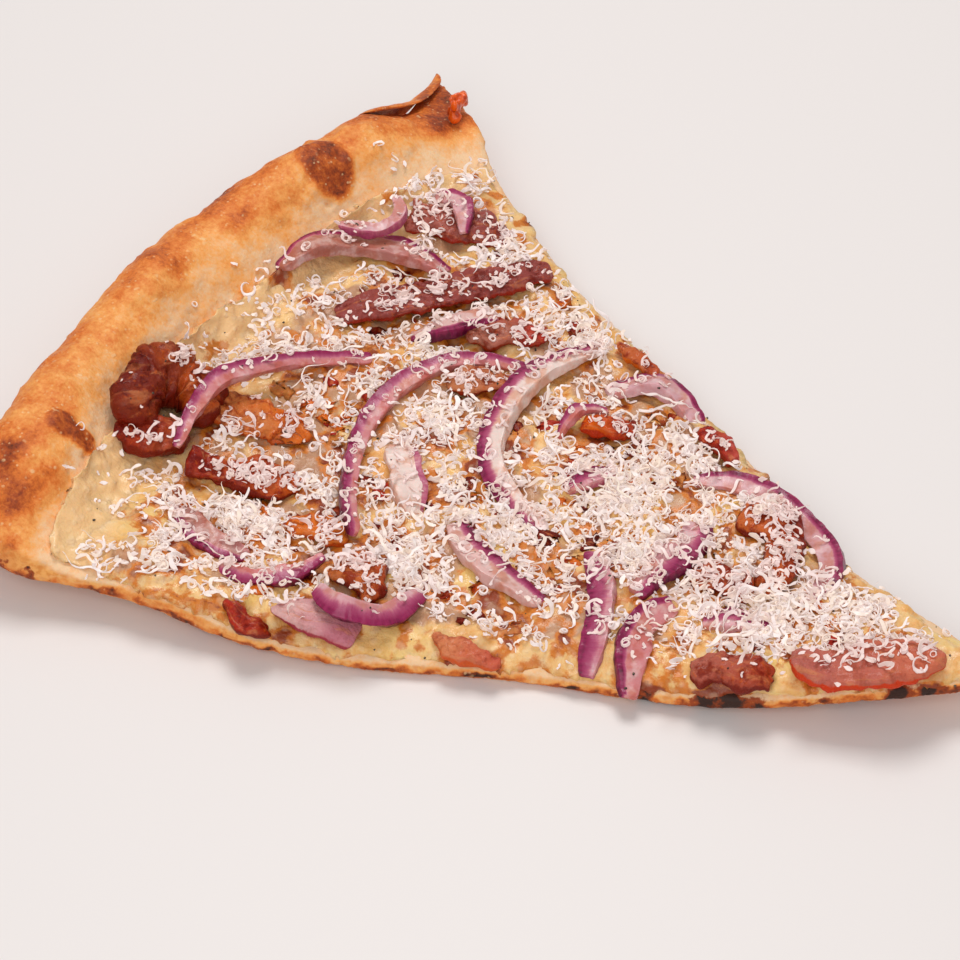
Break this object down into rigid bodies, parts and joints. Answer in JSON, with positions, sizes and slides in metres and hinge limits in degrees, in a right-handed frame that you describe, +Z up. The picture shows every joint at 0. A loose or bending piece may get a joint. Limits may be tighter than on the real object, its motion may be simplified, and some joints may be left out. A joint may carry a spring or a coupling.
{
  "type": "pizza slice",
  "caption": "Wide wedge of thin-crust pizza with a puffed browned rim, melted cheese, bacon pieces, red onion strips and finely grated cheese.",
  "frame": {"origin": "centre of the bounding box seen from above, on the plane that the slice lies on", "axes": "+X from the rim to the tip, +Z up, +Y toward the far cut"},
  "size_m": [0.2412, 0.2131, 0.0313],
  "materials": {
    "baked_crust": "baked dough, golden to brown",
    "melted_cheese": "melted cheese, soft sheen",
    "cooked_bacon": "cooked bacon, slightly oily",
    "red_onion": "moist onion flesh with a purple skin"
  },
  "bodies": {
    "root": {"bacon_brown": "cooked_bacon", "bacon_chunk": "cooked_bacon", "bacon_corner": "cooked_bacon", "bacon_crisp": "cooked_bacon", "bacon_dark": "cooked_bacon", "bacon_edge": "cooked_bacon", "bacon_far": "cooked_bacon", "bacon_folded": "cooked_bacon", "bacon_gold": "cooked_bacon", "bacon_ham": "cooked_bacon", "bacon_lobe": "cooked_bacon", "bacon_long": "cooked_bacon", "bacon_mid": "cooked_bacon", "bacon_near": "cooked_bacon", "bacon_ringed": "cooked_bacon", "bacon_short": "cooked_bacon", "bacon_slab": "cooked_bacon", "bacon_tan": "cooked_bacon", "bacon_tip": "cooked_bacon", "bacon_top": "cooked_bacon", "cheese": "melted_cheese", "cheese_nub": "melted_cheese", "crust_lip": "baked_crust", "dough": "baked_crust", "onion_big_arc": "red_onion", "onion_bow": "red_onion", "onion_broad": "red_onion", "onion_crescent": "red_onion", "onion_curl": "red_onion", "onion_dark_ring": "red_onion", "onion_fan": "red_onion", "onion_flat": "red_onion", "onion_grey": "red_onion", "onion_heart": "red_onion", "onion_hook": "red_onion", "onion_lilac": "red_onion", "onion_long_arc": "red_onion", "onion_low_arc": "red_onion", "onion_open_ring": "red_onion", "onion_pale_arc": "red_onion", "onion_short_arc": "red_onion", "onion_tail_arc": "red_onion", "onion_thread": "red_onion", "onion_upright": "red_onion"}
  },
  "joints": []
}
